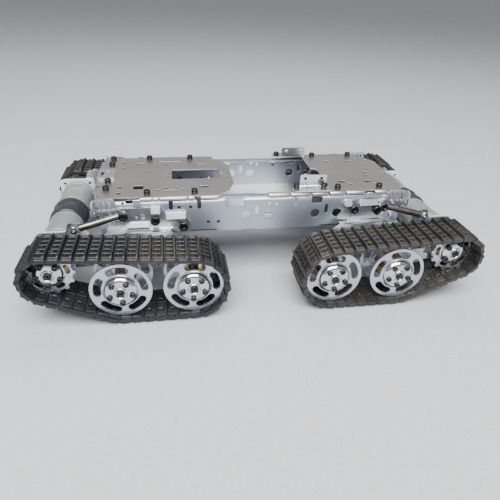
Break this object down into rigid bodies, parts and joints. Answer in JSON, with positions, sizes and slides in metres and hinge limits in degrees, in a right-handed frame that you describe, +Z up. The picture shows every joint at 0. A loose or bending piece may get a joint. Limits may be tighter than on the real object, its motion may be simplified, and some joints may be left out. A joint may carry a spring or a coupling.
{
  "type": "tracked robot chassis",
  "caption": "Robot chassis of folded sheet metal with a perforated deck, carried by four small track units, each with a toothed sprocket and two road wheels.",
  "frame": {"origin": "on the ground under the middle of the body", "axes": "+X along the body towards the front end, +Y to the left side, +Z up"},
  "size_m": [0.4086, 0.231, 0.1035],
  "materials": {
    "rail": "satin",
    "deck": "satin",
    "bracket": "satin",
    "wheel": "satin",
    "steel": "satin",
    "rod": "satin",
    "motor": "satin",
    "plastic": "matte",
    "track": "matte",
    "black_oxide": "satin",
    "brass": "satin"
  },
  "bodies": {
    "root": {"side_rail_right": "rail", "side_rail_left": "rail", "floor_plate": "rail", "deck_plate_rear": "deck", "deck_plate_front": "deck", "angle_bracket_right": "bracket", "angle_bracket_left": "bracket", "end_plate_front": "bracket", "end_plate_rear": "bracket", "wall_bracket_front_right": "bracket", "unit_frame_front_right": "bracket", "motor_mount_front_right": "bracket", "gear_motor_front_right": "motor", "encoder_cap_front_right": "plastic", "brace_rod_front_right": "rod", "track_front_right": "track", "outer_axle_front_right": "steel", "inner_axle_front_right": "steel", "wall_bracket_front_left": "bracket", "unit_frame_front_left": "bracket", "motor_mount_front_left": "bracket", "gear_motor_front_left": "motor", "encoder_cap_front_left": "plastic", "brace_rod_front_left": "rod", "track_front_left": "track", "outer_axle_front_left": "steel", "inner_axle_front_left": "steel", "wall_bracket_rear_right": "bracket", "unit_frame_rear_right": "bracket", "motor_mount_rear_right": "bracket", "gear_motor_rear_right": "motor", "encoder_cap_rear_right": "plastic", "brace_rod_rear_right": "rod", "track_rear_right": "track", "outer_axle_rear_right": "steel", "inner_axle_rear_right": "steel", "wall_bracket_rear_left": "bracket", "unit_frame_rear_left": "bracket", "motor_mount_rear_left": "bracket", "gear_motor_rear_left": "motor", "encoder_cap_rear_left": "plastic", "brace_rod_rear_left": "rod", "track_rear_left": "track", "outer_axle_rear_left": "steel", "inner_axle_rear_left": "steel"},
    "sprocket_front_right": {"sprocket_front_right": "wheel"},
    "outer_wheel_front_right": {"outer_wheel_front_right": "wheel"},
    "inner_wheel_front_right": {"inner_wheel_front_right": "wheel"},
    "sprocket_front_left": {"sprocket_front_left": "wheel"},
    "outer_wheel_front_left": {"outer_wheel_front_left": "wheel"},
    "inner_wheel_front_left": {"inner_wheel_front_left": "wheel"},
    "sprocket_rear_right": {"sprocket_rear_right": "wheel"},
    "outer_wheel_rear_right": {"outer_wheel_rear_right": "wheel"},
    "inner_wheel_rear_right": {"inner_wheel_rear_right": "wheel"},
    "sprocket_rear_left": {"sprocket_rear_left": "wheel"},
    "outer_wheel_rear_left": {"outer_wheel_rear_left": "wheel"},
    "inner_wheel_rear_left": {"inner_wheel_rear_left": "wheel"}
  },
  "joints": [
    {"name": "sprocket_front_right_spin", "type": "hinge", "parent": "root", "child": "sprocket_front_right", "pos_m": [0.18, -0.0945, 0.047], "axis": [0, 1, 0], "continuous": true},
    {"name": "outer_wheel_front_right_spin", "type": "hinge", "parent": "root", "child": "outer_wheel_front_right", "pos_m": [0.1232, -0.0945, 0.032], "axis": [0, 1, 0], "continuous": true},
    {"name": "inner_wheel_front_right_spin", "type": "hinge", "parent": "root", "child": "inner_wheel_front_right", "pos_m": [0.0625, -0.0945, 0.032], "axis": [0, 1, 0], "continuous": true},
    {"name": "sprocket_front_left_spin", "type": "hinge", "parent": "root", "child": "sprocket_front_left", "pos_m": [0.18, 0.0945, 0.047], "axis": [0, 1, 0], "continuous": true},
    {"name": "outer_wheel_front_left_spin", "type": "hinge", "parent": "root", "child": "outer_wheel_front_left", "pos_m": [0.1232, 0.0945, 0.032], "axis": [0, 1, 0], "continuous": true},
    {"name": "inner_wheel_front_left_spin", "type": "hinge", "parent": "root", "child": "inner_wheel_front_left", "pos_m": [0.0625, 0.0945, 0.032], "axis": [0, 1, 0], "continuous": true},
    {"name": "sprocket_rear_right_spin", "type": "hinge", "parent": "root", "child": "sprocket_rear_right", "pos_m": [-0.18, -0.0945, 0.047], "axis": [0, 1, 0], "continuous": true},
    {"name": "outer_wheel_rear_right_spin", "type": "hinge", "parent": "root", "child": "outer_wheel_rear_right", "pos_m": [-0.1232, -0.0945, 0.032], "axis": [0, 1, 0], "continuous": true},
    {"name": "inner_wheel_rear_right_spin", "type": "hinge", "parent": "root", "child": "inner_wheel_rear_right", "pos_m": [-0.0625, -0.0945, 0.032], "axis": [0, 1, 0], "continuous": true},
    {"name": "sprocket_rear_left_spin", "type": "hinge", "parent": "root", "child": "sprocket_rear_left", "pos_m": [-0.18, 0.0945, 0.047], "axis": [0, 1, 0], "continuous": true},
    {"name": "outer_wheel_rear_left_spin", "type": "hinge", "parent": "root", "child": "outer_wheel_rear_left", "pos_m": [-0.1232, 0.0945, 0.032], "axis": [0, 1, 0], "continuous": true},
    {"name": "inner_wheel_rear_left_spin", "type": "hinge", "parent": "root", "child": "inner_wheel_rear_left", "pos_m": [-0.0625, 0.0945, 0.032], "axis": [0, 1, 0], "continuous": true}
  ],
  "couplings": [
    {"joint": "outer_wheel_front_right_spin", "follows": "sprocket_front_right_spin", "ratio": 0.8521},
    {"joint": "inner_wheel_front_right_spin", "follows": "sprocket_front_right_spin", "ratio": 0.8521},
    {"joint": "outer_wheel_front_left_spin", "follows": "sprocket_front_left_spin", "ratio": 0.8521},
    {"joint": "inner_wheel_front_left_spin", "follows": "sprocket_front_left_spin", "ratio": 0.8521},
    {"joint": "outer_wheel_rear_right_spin", "follows": "sprocket_rear_right_spin", "ratio": 0.8521},
    {"joint": "inner_wheel_rear_right_spin", "follows": "sprocket_rear_right_spin", "ratio": 0.8521},
    {"joint": "outer_wheel_rear_left_spin", "follows": "sprocket_rear_left_spin", "ratio": 0.8521},
    {"joint": "inner_wheel_rear_left_spin", "follows": "sprocket_rear_left_spin", "ratio": 0.8521}
  ]
}
